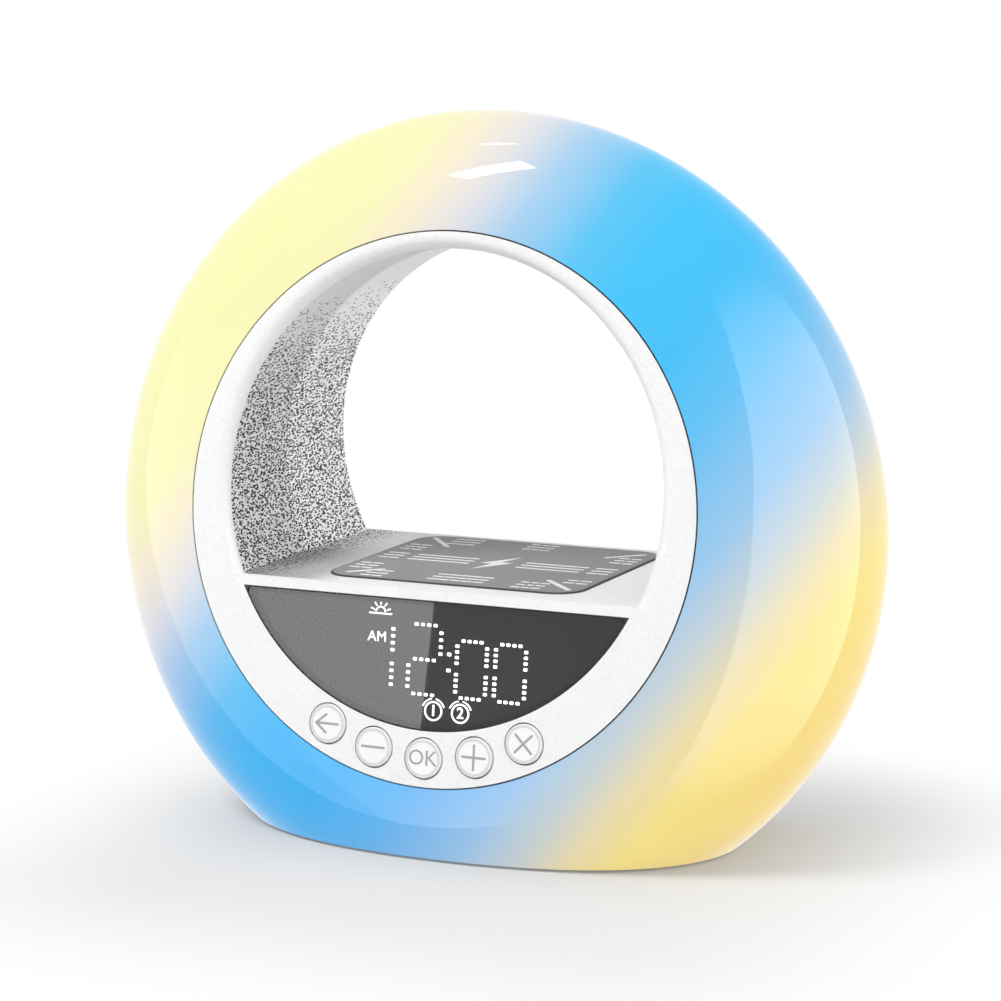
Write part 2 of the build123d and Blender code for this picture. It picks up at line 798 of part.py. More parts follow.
with BuildPart() as power_inlet:
    with BuildSketch(lining_plane):
        with Locations((-socket_u, socket_v)):
            Rectangle(inlet_width, inlet_height)
    extrude(amount=-inlet_depth)
    with BuildSketch(lining_plane):
        with Locations((-socket_u, socket_v)):
            Circle(inlet_collar_radius)
    extrude(amount=shell_wall - socket_sink)
    with BuildSketch(rear_plane.offset(-socket_sink)):
        with Locations((-socket_u, socket_v)):
            Circle(inlet_bore_radius)
            Circle(inlet_pin_radius, mode=Mode.SUBTRACT)
    extrude(amount=-inlet_bore_depth, mode=Mode.SUBTRACT)
    with BuildSketch(rear_plane.offset(-socket_sink)):
        with Locations((-socket_u, socket_v)):
            Circle(inlet_pin_radius)
    extrude(amount=-(inlet_bore_depth - inlet_pin_length), mode=Mode.SUBTRACT)

with BuildPart() as usb_port:
    with BuildSketch(rear_plane.offset(-socket_sink)):
        with Locations((socket_u, socket_v)):
            Rectangle(usb_width, usb_height)
    extrude(amount=-usb_depth)
    with BuildSketch(lining_plane):
        with Locations((socket_u, socket_v)):
            Rectangle(usb_width + 2 * usb_flange_margin, usb_height + 2 * usb_flange_margin)
    extrude(amount=-usb_flange_wall)
    with BuildSketch(rear_plane.offset(-socket_sink)):
        with Locations((socket_u, socket_v)):
            Rectangle(usb_width - 2 * usb_sheet, usb_height - 2 * usb_sheet)
    extrude(amount=-usb_depth + usb_sheet, mode=Mode.SUBTRACT)
    with BuildSketch(rear_plane.offset(-socket_sink - usb_depth + usb_sheet)):
        with Locations((socket_u, socket_v + (usb_height / 2 - usb_sheet - usb_tongue_wall))):
            Rectangle(usb_tongue_width, usb_tongue_wall)
    extrude(amount=usb_tongue_length)

# ================= base =================

holder_size = 2 * (cell_radius + cell_gap + holder_wall)
with BuildPart() as base_plate:
    add(form(shell_wall + fit_gap))
    split(bisect_by=shell_plane, keep=Keep.TOP)
    split(bisect_by=shell_plane.offset(base_wall), keep=Keep.BOTTOM)
    with BuildSketch(shell_plane):
        with GridLocations(2 * foot_x, 2 * foot_y, 2, 2):
            Circle(foot_radius)
    extrude(amount=foot_wall - shell_z, mode=Mode.SUBTRACT)
    with BuildSketch(shell_plane):
        with Locations((0, cell_y)):
            Rectangle(door_size + 2 * fit_gap, door_size + 2 * fit_gap)
    extrude(amount=door_wall, mode=Mode.SUBTRACT)
    with BuildSketch(shell_plane):
        with Locations((0, cell_y)):
            Circle(cell_radius + cell_gap)
    extrude(amount=base_wall, mode=Mode.SUBTRACT)
    with BuildSketch(shell_plane):
        with GridLocations(2 * base_post_x, 2 * base_post_y, 2, 2):
            Circle(base_screw_radius + case_bore_gap)
    extrude(amount=base_wall, mode=Mode.SUBTRACT)
    with BuildSketch(shell_plane):
        with GridLocations(2 * base_post_x, 2 * base_post_y, 2, 2):
            Circle(base_head_radius + case_bore_gap)
    extrude(amount=base_head_height, mode=Mode.SUBTRACT)

with BuildPart() as feet:
    with BuildSketch():
        with GridLocations(2 * foot_x, 2 * foot_y, 2, 2):
            Circle(foot_radius - fit_gap)
    extrude(amount=foot_wall)

with BuildPart() as battery_door:
    with BuildSketch(shell_plane):
        with Locations((0, cell_y)):
            Rectangle(door_size, door_size)
    extrude(amount=door_wall)

cell_low = shell_z + door_wall
with BuildPart() as coin_cell:
    with BuildSketch(Plane.XY.offset(cell_low)):
        with Locations((0, cell_y)):
            Circle(cell_radius)
    extrude(amount=cell_wall)

with BuildPart() as cell_holder:
    with BuildSketch(Plane.XY.offset(base_top)):
        with Locations((0, cell_y)):
            Rectangle(holder_size, holder_size)
    extrude(amount=cell_low + cell_wall + holder_wall - base_top)
    with BuildSketch(Plane.XY.offset(base_top)):
        with Locations((0, cell_y)):
            Circle(cell_radius + cell_gap)
    extrude(amount=cell_low + cell_wall - base_top, mode=Mode.SUBTRACT)

# ================= screws =================

with BuildPart() as case_screws:
    with BuildSketch(mid_plane.offset(-case_seat_y)):
        with Locations(case_spots):
            Circle(case_head_radius)
    extrude(amount=-case_head_height)
    with BuildSketch(mid_plane.offset(-case_seat_y)):
        with Locations(case_spots):
            Circle(case_shank_radius)
    extrude(amount=case_seat_y - case_tip_y)

with BuildPart() as base_screws:
    with BuildSketch(shell_plane.offset(base_head_height)):
        with GridLocations(2 * base_post_x, 2 * base_post_y, 2, 2):
            Circle(base_head_radius)
    extrude(amount=-base_head_height)
    with BuildSketch(shell_plane.offset(base_head_height)):
        with GridLocations(2 * base_post_x, 2 * base_post_y, 2, 2):
            Circle(base_screw_radius)
    extrude(amount=base_screw_length)

with BuildPart() as board_screws:
    with BuildSketch(front_plane.offset(-switch_seat - board_wall)):
        with Locations(post_spots):
            Circle(crescent_post_radius)
    extrude(amount=-board_screw_head)
    with BuildSketch(front_plane.offset(-switch_seat - board_wall)):
        with Locations(post_spots):
            Circle(crescent_screw_radius)
    extrude(amount=board_screw_length)

pieces = {
    "diffuser": diffuser,
    "front_bezel": front_bezel,
    "rear_cover": rear_cover,
    "display_window": display_window,
    "light_box": light_box,
    "display_board": display_board,
    "display_pixels": display_pixels,
    "tact_switches": tact_switches,
    "button_board": button_board,
    "light_frame": light_frame,
    "led_board": led_board,
    "leds": leds,
    "charging_pad": charging_pad,
    "charge_coil": charge_coil,
    "coil_ferrite": coil_ferrite,
    "coil_tray": coil_tray,
    "charger_board": charger_board,
    "main_board": main_board,
    "main_chips": main_chips,
    "speaker_frame": speaker_frame,
    "speaker_magnet": speaker_magnet,
    "speaker_surround": speaker_surround,
    "speaker_cone": speaker_cone,
    "power_inlet": power_inlet,
    "usb_port": usb_port,
    "base_plate": base_plate,
    "feet": feet,
    "battery_door": battery_door,
    "coin_cell": coin_cell,
    "cell_holder": cell_holder,
    "case_screws": case_screws,
    "base_screws": base_screws,
    "board_screws": board_screws,
}
for name, button in buttons.items():
    pieces[f"button_{name}"] = button

os.makedirs("parts", exist_ok=True)
for name, piece in pieces.items():
    piece.part.label = name
    export_step(piece.part, f"parts/{name}.step")
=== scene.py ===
import bmesh
import bpy
from math import atan2, cos, pi, radians, sin
from mathutils import Matrix, Quaternion, Vector


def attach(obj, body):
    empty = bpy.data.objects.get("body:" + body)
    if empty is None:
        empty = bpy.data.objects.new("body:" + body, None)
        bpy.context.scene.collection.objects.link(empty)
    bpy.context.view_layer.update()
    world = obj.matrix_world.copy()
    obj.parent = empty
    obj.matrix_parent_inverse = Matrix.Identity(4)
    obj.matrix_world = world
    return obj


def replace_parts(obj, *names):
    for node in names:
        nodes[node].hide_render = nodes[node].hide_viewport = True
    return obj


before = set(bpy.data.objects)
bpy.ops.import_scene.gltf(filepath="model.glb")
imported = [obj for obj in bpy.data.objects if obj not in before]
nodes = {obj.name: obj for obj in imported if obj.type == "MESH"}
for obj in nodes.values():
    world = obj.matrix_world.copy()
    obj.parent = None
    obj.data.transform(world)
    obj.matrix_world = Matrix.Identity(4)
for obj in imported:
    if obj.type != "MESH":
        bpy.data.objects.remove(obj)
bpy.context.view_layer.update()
mm = 0.001
scene = bpy.context.scene
print("frame loaded:", len(nodes), "nodes")

# the case as it is built
caseForm = {
    "halfDepth": 36.6 * mm,  # middle plane to the face plane
    "ringHeight": 95.3 * mm,  # centre of the bezel
    "lean": radians(7.5),  # the face leans back this far
    "tunnelRise": 4.9 * mm,  # tunnel centre above the bezel's centre
    "tunnelRadius": 64.2 * mm,
    "shelfHeight": 74.0 * mm,
    "seamRadius": 74.8 * mm,  # outer edge of the bezel
    "displayRadius": 63.9 * mm,  # about the tunnel's centre
    "displayTop": -24.7 * mm,  # from the bezel's centre
}
faceCentre = Vector((0, -caseForm["halfDepth"], caseForm["ringHeight"]))


def facePlace(across, up, out=0.0):
    # a place on the leaning front face, from the bezel's centre; out is towards the user
    lean = caseForm["lean"]
    right = Vector((1, 0, 0))
    upward = Vector((0, sin(lean), cos(lean)))
    outward = Vector((0, -cos(lean), sin(lean)))
    place = Matrix((right, upward, outward)).transposed().to_4x4()
    place.translation = faceCentre + right * across + upward * up + outward * out
    return place


class Signal:  # one output socket, which Python's operators turn into Math nodes
    def __init__(self, tree, socket):
        self.tree = tree
        self.socket = socket

    def maths(self, operation, first, second=None):
        node = self.tree.nodes.new("ShaderNodeMath")
        node.operation = operation
        for place, value in zip(node.inputs, (first, second)):
            if isinstance(value, Signal):
                self.tree.links.new(value.socket, place)
            elif value is not None:
                place.default_value = value
        return Signal(self.tree, node.outputs[0])

    def __add__(self, other):
        return self.maths("ADD", self, other)

    def __radd__(self, other):
        return self.maths("ADD", other, self)

    def __sub__(self, other):
        return self.maths("SUBTRACT", self, other)

    def __rsub__(self, other):
        return self.maths("SUBTRACT", other, self)

    def __mul__(self, other):
        return self.maths("MULTIPLY", self, other)

    def __rmul__(self, other):
        return self.maths("MULTIPLY", other, self)

    def __truediv__(self, other):
        return self.maths("DIVIDE", self, other)

    def __rtruediv__(self, other):
        return self.maths("DIVIDE", other, self)

    def __pow__(self, other):
        return self.maths("POWER", self, other)

    def __rpow__(self, other):
        return self.maths("POWER", other, self)

    def __gt__(self, other):
        return self.maths("GREATER_THAN", self, other)

    def __lt__(self, other):
        return self.maths("LESS_THAN", self, other)

    def __abs__(self):
        return self.maths("ABSOLUTE", self)


def distance(across, along):
    return (across * across + along * along) ** 0.5


def beyondBox(across, along, halfWidth, halfDepth):
    # how far a place lies outside a rectangle about the origin
    sideways = abs(across) - halfWidth
    onwards = abs(along) - halfDepth
    return distance(sideways * (sideways > 0.0), onwards * (onwards > 0.0))


def linear(level):
    return level / 12.92 if level <= 0.04045 else ((level + 0.055) / 1.055) ** 2.4


def colour(code):
    # "#rrggbb" as linear red, green, blue and alpha
    levels = [int(code[place : place + 2], 16) / 255 for place in (1, 3, 5)]
    return (*(linear(level) for level in levels), 1.0)


def darker(tint, share):
    return (*(part * share for part in tint[:3]), 1.0)


class NodeWork:  # adds and links the nodes of one material or world
    def __init__(self, owner):
        owner.use_nodes = True
        self.tree = owner.node_tree

    def find(self, sockets, key):
        # by number, identifier or name
        if isinstance(key, int):
            return sockets[key]
        for socket in sockets:
            if key in (socket.identifier, socket.name):
                return socket
        raise KeyError(key)

    def plug(self, node, key, value):
        socket = self.find(node.inputs, key)
        if isinstance(value, Signal):
            self.tree.links.new(value.socket, socket)
        else:
            socket.default_value = value

    def setStops(self, stops, wanted):
        # a ramp comes with two stops, and the others are added
        for index, (place, code) in enumerate(wanted):
            stop = stops[index] if index < 2 else stops.new(place)
            stop.position = place
            stop.color = colour(code)

    def add(self, kind, settings=None, values=None, output=0):
        node = self.tree.nodes.new(kind)
        for key, value in (settings or {}).items():
            if key == "stops":
                self.setStops(node.color_ramp.elements, value)
            else:
                setattr(node, key, value)
        for key, value in (values or {}).items():
            self.plug(node, key, value)
        return Signal(self.tree, self.find(node.outputs, output))

    def seenBy(self, *kinds):
        # 1 on rays of these kinds, and 0 on others
        return sum(self.add("ShaderNodeLightPath", output=kind) for kind in kinds) > 0.5


class Finish(NodeWork):  # one material and its Principled shader
    def __init__(self, name, **fixed):
        self.material = bpy.data.materials.new(name)
        super().__init__(self.material)
        self.shader = self.tree.nodes["Principled BSDF"]
        for key, value in fixed.items():
            self.set(key.replace("_", " "), value)

    def set(self, key, value):
        self.plug(self.shader, key, value)

    def objectPlace(self):
        return self.add("ShaderNodeTexCoord", output="Object")

    def split(self, place):
        parts = self.add("ShaderNodeSeparateXYZ", values={"Vector": place}).socket.node
        return [Signal(self.tree, socket) for socket in parts.outputs]

    def faceAxes(self):
        # across, up and out on the leaning front face, as three signals
        turn = (pi / 2 - caseForm["lean"], 0.0, 0.0)
        values = {"Vector": self.objectPlace(), "Location": faceCentre, "Rotation": turn}
        return self.split(self.add("ShaderNodeMapping", {"vector_type": "TEXTURE"}, values))

    def ease(self, value, start, end):
        values = {"Value": value, "From Min": start, "From Max": end}
        return self.add("ShaderNodeMapRange", {"interpolation_type": "SMOOTHSTEP"}, values)

    def noise(self, place, scale, detail=2.0, rough=0.5):
        values = {"Vector": place, "Scale": scale, "Detail": detail, "Roughness": rough}
        return self.add("ShaderNodeTexNoise", values=values, output="Fac")

    def grain(self, place, scale):
        # the fine texture of a moulded surface
        return self.noise(place, scale, detail=3.0, rough=0.6)

    def blend(self, mask, first, second, kind="MIX"):
        settings = {"data_type": "RGBA", "blend_type": kind}
        values = {"Factor_Float": mask, "A_Color": first, "B_Color": second}
        return self.add("ShaderNodeMix", settings, values, "Result_Color")

    def bump(self, height, strength, depth):
        values = {"Height": height, "Strength": strength, "Distance": depth}
        self.set("Normal", self.add("ShaderNodeBump", values=values))


shellGlow = {
    "across": (0.744, 0.255, -0.617),  # the way the colours run, from the upper left to the lower right
    "start": -160.0 * mm,
    "end": 60.0 * mm,
    "glow": 0.59,
    "body": 0.38,  # how much of the colour the plastic itself shows
    "clouds": 14.0,  # soft waves per metre, which move the colours
    "waver": 3.0 * mm,
    "footTint": "#F6F1FF",  # the blue is a little deeper near the foot
    "footHeight": (70.0 * mm, 25.0 * mm),  # where the tint begins and where it is whole
    "footReach": (0.74, 0.62),  # the same along the run of the colours
    "stops": (
        (0.04, "#F9F8B4"),
        (0.12, "#F9F6BA"),
        (0.17, "#F8EDD2"),
        (0.22, "#E4E3E6"),
        (0.28, "#A8D1F0"),
        (0.36, "#5AC7F7"),
        (0.43, "#40C5FB"),
        (0.52, "#40C2F9"),
        (0.60, "#62C3F7"),
        (0.70, "#9CCBF0"),
        (0.76, "#CCD7DA"),
        (0.81, "#F2E3B2"),
        (0.86, "#FEE88C"),
        (0.95, "#FCDD7E"),
    ),
}


def milkyGlow():
    # glossy milky shell, lit from inside
    finish = Finish(
        "milkyGlow",
        Roughness=0.35,
        IOR=1.08,
        Coat_Weight=1.0,
        Coat_Roughness=0.015,
        Coat_IOR=1.36,
    )
    place = finish.objectPlace()
    values = {"Vector": place, "Vector_001": shellGlow["across"]}
    along = finish.add("ShaderNodeVectorMath", {"operation": "DOT_PRODUCT"}, values, "Value")
    clouds = finish.noise(place, shellGlow["clouds"], detail=1.0) - 0.5
    along = along + clouds * shellGlow["waver"]
    reach = (along - shellGlow["start"]) / (shellGlow["end"] - shellGlow["start"])
    ramp = finish.add("ShaderNodeValToRGB", {"stops": shellGlow["stops"]}, {"Fac": reach})
    height = finish.split(place)[2]
    foot = finish.ease(height, *shellGlow["footHeight"]) * finish.ease(reach, *shellGlow["footReach"])
    glow = finish.blend(foot, ramp, colour(shellGlow["footTint"]), "MULTIPLY")
    body = shellGlow["body"]
    finish.set("Base Color", finish.blend(1.0, glow, (body, body, body, 1.0), "MULTIPLY"))
    finish.set("Emission Color", glow)
    finish.set("Emission Strength", shellGlow["glow"])
    return finish.material


whiteMould = {
    "patches": 26.0,  # broad patches per metre
    "shade": 0.90,  # their tone, as a share of the plastic's own
    "shadeFrom": 0.3,  # height of the grain from which they show
    "shadeShare": 0.9,
    "rough": 0.46,
    "grainRough": 0.12,  # what the grain adds
    "grainDepth": 0.06 * mm,
}


def sparkWhite(name, tone="#F1F1F1", grain=0.35, scale=1900.0):
    # matte white moulding with a fine spark-eroded texture
    finish = Finish(name, IOR=1.47)
    place = finish.objectPlace()
    fine = finish.grain(place, scale)
    broad = finish.noise(place, whiteMould["patches"])
    mask = (fine - whiteMould["shadeFrom"]) * whiteMould["shadeShare"] * broad
    tint = colour(tone)
    finish.set("Base Color", finish.blend(mask, tint, darker(tint, whiteMould["shade"])))
    finish.set("Roughness", whiteMould["rough"] + fine * whiteMould["grainRough"])
    finish.bump(fine, grain, whiteMould["grainDepth"])
    return finish.material


caseSatin = {
    "tone": "#F2F2F2",
    "grainTone": "#C4C4C4",
    "grainSteps": (0.35, 0.65),
    "grainShare": 0.2,
    "grainScale": 1900.0,
    "grainStrength": 0.30,
    "grainDepth": 0.06 * mm,
    "rough": 0.42,
    "grainRough": 0.12,
    "tunnelRough": 0.15,  # added in the tunnel
}
tunnelSpeckle = {
    "light": "#FFFFFF",
    "frontShadeTone": "#E0E0E0",  # painted shade: the wall's front half is painted darker, since it tapers the other way and catches less light
    "crease": (-4.0 * mm, 1.0 * mm),
    # the spots' tone: partly the grain's pits, partly painted shade
    "dark": "#060606",
    "pitch": (1800.0, 800.0, 1800.0),  # spots per metre, longer along the tunnel
    "spots": (0.515, 0.445),  # edge of a spot, as a share of the pitch
    "fade": (153.0 * mm, 122.0 * mm),  # smooth above the first height, whole below the second
    "edge": 0.12 * mm,
    "floor": 0.3 * mm,
    "rearFrom": 20.0 * mm,  # behind here the speckle runs round the back edge
    "rearLip": 2.4 * mm,
    "shelf": (-42.0 * mm, -56.0 * mm),  # it also runs a little way on to the shelf
    "shelfFront": -38.0 * mm,  # but not over the shelf's front edge
    "cornerShadeTone": "#ACACAC",  # painted shade: the shelf is painted darker in its left front corner, beside the tunnel wall
    "cornerShadeAcross": (-29.0 * mm, -42.0 * mm),
    "cornerShadeDepth": (24.0 * mm, -12.0 * mm),
}
# painted shadow: a dark line in the part line round the bezel and in the gap round the display
seamShade = {"width": 0.25 * mm, "display": 0.45 * mm, "depth": 4.0 * mm, "tone": "#101012"}


def speckleSpots(finish, place, height):
    # the dark spots, partly grain and partly painted shade, denser lower down where the wall lies in
    # shade, and the cells that they stand in
    stretch = finish.add("ShaderNodeMapping", values={"Vector": place, "Scale": tunnelSpeckle["pitch"]})
    values = {"Vector": stretch, "Scale": 1.0}
    cells = finish.add("ShaderNodeTexVoronoi", values=values, output="Distance")
    chance = finish.split(Signal(finish.tree, cells.socket.node.outputs["Color"]))[0]
    spotShadeShare = finish.ease(height, *tunnelSpeckle["fade"])
    return finish.ease(cells, *tunnelSpeckle["spots"]) * (chance < spotShadeShare), cells


def gapShadowMask(finish):
    # painted shadow in the part line round the bezel and in the gap round the display
    right, up, out = finish.faceAxes()
    seam = distance(right, up) > caseForm["seamRadius"] - seamShade["width"]
    fromTunnel = distance(right, up - caseForm["tunnelRise"])
    pocket = fromTunnel < caseForm["displayRadius"] + seamShade["display"]
    pocket = pocket * (up < caseForm["displayTop"] + seamShade["display"])
    return finish.ease((seam + pocket) * (out > -seamShade["depth"]), 0.0, 1.0)


def caseWhite():
    # satin white outside; the tunnel's wall is coarsely spark eroded, its dark spots partly painted
    # shade, with painted shade on its front half and on the shelf's left front corner; the part lines
    # and the gap round the display carry painted shadow
    finish = Finish("caseWhite", IOR=1.47)
    place = finish.objectPlace()
    across, depth, height = finish.split(place)
    radius = distance(across, height - (caseForm["ringHeight"] + caseForm["tunnelRise"]))
    fine = finish.grain(place, caseSatin["grainScale"])
    spots, cells = speckleSpots(finish, place, height)
    dark = colour(tunnelSpeckle["dark"])

    edge = (depth > tunnelSpeckle["rearFrom"]) * tunnelSpeckle["rearLip"] + tunnelSpeckle["edge"]
    inside = radius < edge + caseForm["tunnelRadius"]
    inside = inside * (height > caseForm["shelfHeight"] + tunnelSpeckle["floor"])
    shelf = abs(height - caseForm["shelfHeight"]) < tunnelSpeckle["floor"]
    shelf = shelf * (depth > tunnelSpeckle["shelfFront"]) * (radius < caseForm["tunnelRadius"])
    # painted shade on the shelf's left front corner
    corner = shelf * finish.ease(across, *tunnelSpeckle["cornerShadeAcross"])
    corner = corner * finish.ease(depth, *tunnelSpeckle["cornerShadeDepth"])
    shelf = shelf * finish.ease(across, *tunnelSpeckle["shelf"])

    # painted shade on the tunnel wall: darker in front of the crease, plain to the rear
    shadeToRear = finish.ease(depth, *tunnelSpeckle["crease"])
    wall = finish.blend(shadeToRear, colour(tunnelSpeckle["frontShadeTone"]), colour(tunnelSpeckle["light"]))
    grainy = finish.ease(fine, *caseSatin["grainSteps"]) * caseSatin["grainShare"]
    plain = finish.blend(grainy, colour(caseSatin["tone"]), colour(caseSatin["grainTone"]))
    # the wall's tone here carries the painted shade of its front half
    body = finish.blend(inside, plain, finish.blend(spots, wall, dark))
    # the painted shade of the shelf's corner
    body = finish.blend(corner, body, colour(tunnelSpeckle["cornerShadeTone"]))
    body = finish.blend(spots * shelf, body, dark)
    # painted shadow over the part lines
    finish.set("Base Color", finish.blend(gapShadowMask(finish), body, colour(seamShade["tone"])))
    rough = caseSatin["rough"] + fine * caseSatin["grainRough"]
    finish.set("Roughness", rough + inside * caseSatin["tunnelRough"])
    finish.bump(fine + inside * cells, caseSatin["grainStrength"], caseSatin["grainDepth"])
    return finish.material


smokeLens = {
    "tones": ("#0B0B0C", "#111113"),
    "hazeScale": 40.0,
    "polishScale": 30.0,
    "rough": 0.01,
    "alpha": 0.55,
}


def smokedAcrylic():
    alpha = smokeLens["alpha"]
    finish = Finish("smokedAcrylic", IOR=1.52, Coat_Weight=1.0, Coat_Roughness=0.0, Alpha=alpha)
    place = finish.objectPlace()
    haze = finish.noise(place, smokeLens["hazeScale"], detail=3.0)
    finish.set("Base Color", finish.blend(haze, *(colour(tone) for tone in smokeLens["tones"])))
    finish.set("Roughness", finish.noise(place, smokeLens["polishScale"]) * smokeLens["rough"])
    return finish.material


padRubber = {
    "size": (76.0 * mm, 67.0 * mm),
    "corner": 8.4 * mm,
    "middle": 2.0 * mm,  # behind the clock's middle plane
    "rim": 0.7 * mm,
    "rimTone": "#3A3B3D",
    "tones": ("#737476", "#909193"),
    "grainScale": 2300.0,
    "cloudScale": 60.0,
    "cloudShare": 0.3,
    "rough": 0.62,
    "grainRough": 0.2,
    "grainStrength": 0.35,
    "grainDepth": 0.05 * mm,
}


def siliconeGrey():
    # soft grey with a darker line round the rim
    finish = Finish("siliconeGrey", Sheen_Weight=0.15, IOR=1.42)
    place = finish.objectPlace()
    grain = finish.noise(place, padRubber["grainScale"])
    broad = finish.noise(place, padRubber["cloudScale"], detail=3.0)
    mask = grain * (1.0 - padRubber["cloudShare"]) + broad * padRubber["cloudShare"]
    body = finish.blend(mask, *(colour(tone) for tone in padRubber["tones"]))
    across, along, height = finish.split(place)
    width, depth = padRubber["size"]
    corner = padRubber["corner"]
    fromBox = beyondBox(across, along - padRubber["middle"], width / 2 - corner, depth / 2 - corner)
    rim = fromBox > corner - padRubber["rim"]
    finish.set("Base Color", finish.blend(rim, body, colour(padRubber["rimTone"])))
    finish.set("Roughness", padRubber["rough"] + grain * padRubber["grainRough"])
    finish.bump(grain, padRubber["grainStrength"], padRubber["grainDepth"])
    return finish.material


plasticGrain = {"shade": 0.8, "shadeShare": 0.5, "roughSpread": 0.12, "depth": 0.05 * mm}


def plainPlastic(name, tone, rough=0.5, grain=0.25, scale=1600.0):
    finish = Finish(name, IOR=1.46)
    fine = finish.grain(finish.objectPlace(), scale)
    tint = colour(tone)
    shade = darker(tint, plasticGrain["shade"])
    spread = plasticGrain["roughSpread"]
    finish.set("Base Color", finish.blend(fine * plasticGrain["shadeShare"], tint, shade))
    finish.set("Roughness", rough - spread / 2 + fine * spread)
    finish.bump(fine, grain, plasticGrain["depth"])
    return finish.material


lampGlow = {"edgeTone": "#D9E2EC", "edgeShare": 0.3, "patches": 300.0, "rough": 0.4}


def glowing(name, tone, strength):
    finish = Finish(name, Roughness=lampGlow["rough"])
    spread = finish.noise(finish.objectPlace(), lampGlow["patches"], detail=1.0)
    bright = finish.blend(spread * lampGlow["edgeShare"], colour(tone), colour(lampGlow["edgeTone"]))
    finish.set("Base Color", bright)
    finish.set("Emission Color", bright)
    finish.set("Emission Strength", strength)
    return finish.material


boardLacquer = {
    "tones": ("#0B4A26", "#0F5C31"),
    "mottleScale": 90.0,
    "trackTone": "#2C7A45",
    "tracks": {"Scale": 220.0, "Mortar Size": 0.04},
}


def circuitGreen():
    finish = Finish("circuitGreen", Roughness=0.35, Coat_Weight=0.3)
    place = finish.objectPlace()
    values = {"Vector": place, **boardLacquer["tracks"]}
    tracks = finish.add("ShaderNodeTexBrick", values=values, output="Fac")
    mottled = finish.noise(place, boardLacquer["mottleScale"], detail=3.0)
    lacquer = finish.blend(mottled, *(colour(tone) for tone in boardLacquer["tones"]))
    finish.set("Base Color", finish.blend(tracks, lacquer, colour(boardLacquer["trackTone"])))
    return finish.material


brushing = {
    "stretch": (40.0, 40.0, 1400.0),  # lines lie level
    "shade": 0.75,
    "smoother": 0.08,
    "roughSpread": 0.18,
}


def brushedMetal(name, tone, rough=0.3):
    finish = Finish(name, Metallic=1.0)
    values = {"Vector": finish.objectPlace(), "Scale": brushing["stretch"]}
    stretch = finish.add("ShaderNodeMapping", values=values)
    lines = finish.noise(stretch, 1.0, detail=4.0)
    tint = colour(tone)
    finish.set("Base Color", finish.blend(lines, tint, darker(tint, brushing["shade"])))
    finish.set("Roughness", rough - brushing["smoother"] + lines * brushing["roughSpread"])
    return finish.material


winding = {
    "centring": (0.0, -2.0 * mm, 0.0),
    "turns": 420.0,
    "waver": 0.3,
    "tones": ("#7A3B1B", "#C9773E"),
    "rough": 0.28,
    "turnRough": 0.2,
    "turnStrength": 0.6,
    "turnDepth": 0.1 * mm,
}


def copperWinding():
    finish = Finish("copperWinding", Metallic=0.9, Coat_Weight=0.5)
    values = {"Vector": finish.objectPlace(), "Location": winding["centring"]}
    centred = finish.add("ShaderNodeMapping", values=values)
    settings = {"wave_type": "RINGS", "rings_direction": "Z"}
    values = {"Vector": centred, "Scale": winding["turns"], "Distortion": winding["waver"]}
    turns = finish.add("ShaderNodeTexWave", settings, values, "Fac")
    finish.set("Base Color", finish.blend(turns, *(colour(tone) for tone in winding["tones"])))
    finish.set("Roughness", winding["rough"] + turns * winding["turnRough"])
    finish.bump(turns, winding["turnStrength"], winding["turnDepth"])
    return finish.material


print("writing finishes")
finishes = {
    "shell": milkyGlow(),
    "case": caseWhite(),
    "white": sparkWhite("sparkWhite"),
    "button": sparkWhite("buttonWhite", "#F4F4F4", 0.2, 2400.0),
    "lens": smokedAcrylic(),
    "pad": siliconeGrey(),
    "black": plainPlastic("mattBlack", "#0C0C0D", 0.55),
    "printGrey": plainPlastic("greyInk", "#A3A5A8", 0.6, 0.1),
    # painted shade round each button's edge
    "buttonEdgeShade": plainPlastic("paleGreyEdgeShade", "#DADCDD", 0.6, 0.1),
    "printWhite": plainPlastic("whiteInk", "#F2F2F2", 0.6, 0.1),
    "lit": glowing("litSegment", "#FFFFFF", 9.0),
    "litSoft": glowing("litMark", "#F4F7FA", 8.0),
    "unlit": plainPlastic("restingSegment", "#2A2A2C", 0.5),
    "lamp": glowing("lampChip", "#FFF6DC", 0.6),
    "board": circuitGreen(),
    "copper": copperWinding(),
    "ferrite": plainPlastic("darkFerrite", "#232325", 0.5, 0.3, 700.0),
    "steel": brushedMetal("platedSteel", "#C9C9C9"),
    "rubber": plainPlastic("footRubber", "#161616", 0.75, 0.4, 900.0),
    "paper": plainPlastic("conePaper", "#1E1E20", 0.8, 0.5, 500.0),
}

nodeFinishes = {
    "diffuser": "shell",
    "front_bezel": "case",
    "rear_cover": "case",
    "display_window": "lens",
    "light_box": "black",
    "display_board": "black",
    "display_pixels": "unlit",
    "tact_switches": "black",
    "button_board": "board",
    "light_frame": "white",
    "led_board": "board",
    "leds": "lamp",
    "charging_pad": "pad",
    "charge_coil": "copper",
    "coil_ferrite": "ferrite",
    "coil_tray": "black",
    "charger_board": "board",
    "main_board": "board",
    "main_chips": "black",
    "speaker_frame": "steel",
    "speaker_magnet": "ferrite",
    "speaker_surround": "rubber",
    "speaker_cone": "paper",
    "power_inlet": "black",
    "usb_port": "steel",
    "base_plate": "white",
    "feet": "rubber",
    "battery_door": "white",
    "coin_cell": "steel",
    "cell_holder": "black",
    "case_screws": "steel",
    "base_screws": "steel",
    "board_screws": "steel",
    "button_back": "button",
    "button_minus": "button",
    "button_ok": "button",
    "button_plus": "button",
    "button_close": "button",
}
for node, finish in nodeFinishes.items():
    for slot in nodes[node].material_slots:
        slot.material = finishes[finish]

weldGap = 0.0005 * mm  # corners nearer than this are one


